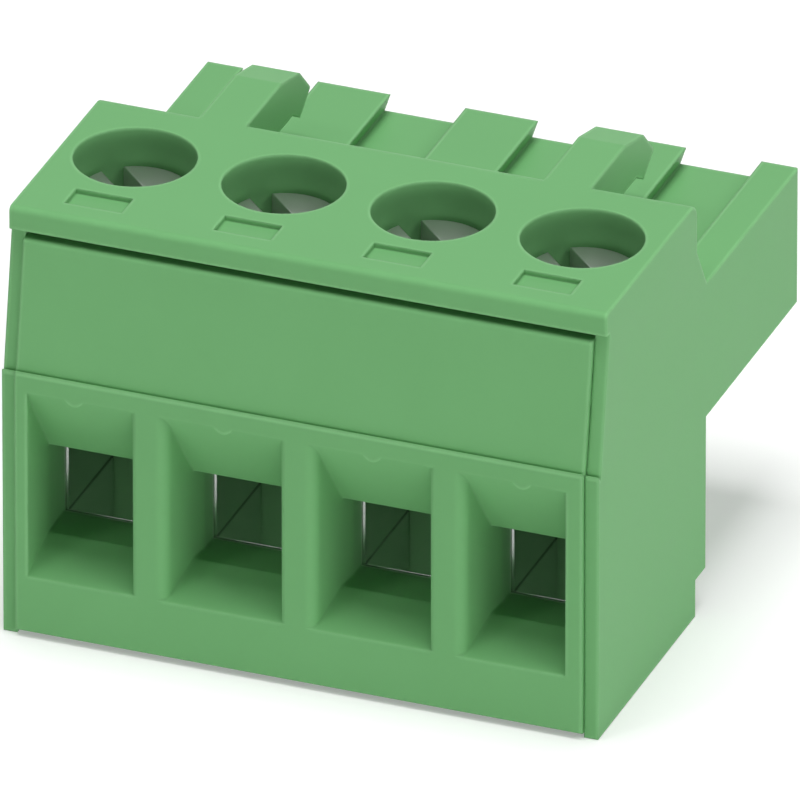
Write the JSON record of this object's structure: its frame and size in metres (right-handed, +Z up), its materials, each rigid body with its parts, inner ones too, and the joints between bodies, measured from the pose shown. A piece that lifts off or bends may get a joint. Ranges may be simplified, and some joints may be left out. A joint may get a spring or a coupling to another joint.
{
  "type": "pluggable terminal block",
  "caption": "Pluggable screw terminal block: wire funnels in front, slotted clamping screws on top that lift cage clamps, and a ribbed nose with latch hooks for a pin header.",
  "frame": {"origin": "centre of the bottom of the block's bounding box", "axes": "+X along the row of poles, +Y from the wire side to the plug side, +Z up towards the screw heads"},
  "size_m": [0.0204, 0.0182, 0.015],
  "materials": {
    "green_plastic": "satin moulded",
    "screw_steel": "zinc plated",
    "cage_plated_brass": "nickel plated",
    "contact_tinned_copper": "tin plated"
  },
  "bodies": {
    "block": {"housing": "green_plastic", "front_cover": "green_plastic", "spring_contact_1": "contact_tinned_copper", "spring_contact_2": "contact_tinned_copper", "spring_contact_3": "contact_tinned_copper", "spring_contact_4": "contact_tinned_copper"},
    "screw_1": {"clamping_screw_1": "screw_steel"},
    "cage_1": {"clamping_cage_1": "cage_plated_brass"},
    "screw_2": {"clamping_screw_2": "screw_steel"},
    "cage_2": {"clamping_cage_2": "cage_plated_brass"},
    "screw_3": {"clamping_screw_3": "screw_steel"},
    "cage_3": {"clamping_cage_3": "cage_plated_brass"},
    "screw_4": {"clamping_screw_4": "screw_steel"},
    "cage_4": {"clamping_cage_4": "cage_plated_brass"}
  },
  "joints": [
    {"name": "screw_turn_1", "type": "hinge", "parent": "block", "child": "screw_1", "pos_m": [-0.00762, -0.0037, 0.0137], "axis": [0, 0, -1], "range_deg": [0, 2160]},
    {"name": "cage_rise_1", "type": "slide", "parent": "block", "child": "cage_1", "axis": [0, 0, 1], "range_m": [0, 0.003]},
    {"name": "screw_turn_2", "type": "hinge", "parent": "block", "child": "screw_2", "pos_m": [-0.00254, -0.0037, 0.0137], "axis": [0, 0, -1], "range_deg": [0, 2160]},
    {"name": "cage_rise_2", "type": "slide", "parent": "block", "child": "cage_2", "axis": [0, 0, 1], "range_m": [0, 0.003]},
    {"name": "screw_turn_3", "type": "hinge", "parent": "block", "child": "screw_3", "pos_m": [0.00254, -0.0037, 0.0137], "axis": [0, 0, -1], "range_deg": [0, 2160]},
    {"name": "cage_rise_3", "type": "slide", "parent": "block", "child": "cage_3", "axis": [0, 0, 1], "range_m": [0, 0.003]},
    {"name": "screw_turn_4", "type": "hinge", "parent": "block", "child": "screw_4", "pos_m": [0.00762, -0.0037, 0.0137], "axis": [0, 0, -1], "range_deg": [0, 2160]},
    {"name": "cage_rise_4", "type": "slide", "parent": "block", "child": "cage_4", "axis": [0, 0, 1], "range_m": [0, 0.003]}
  ],
  "couplings": [
    {"joint": "screw_turn_1", "follows": "cage_rise_1", "rad_per_m": 12566},
    {"joint": "screw_turn_2", "follows": "cage_rise_2", "rad_per_m": 12566},
    {"joint": "screw_turn_3", "follows": "cage_rise_3", "rad_per_m": 12566},
    {"joint": "screw_turn_4", "follows": "cage_rise_4", "rad_per_m": 12566}
  ]
}
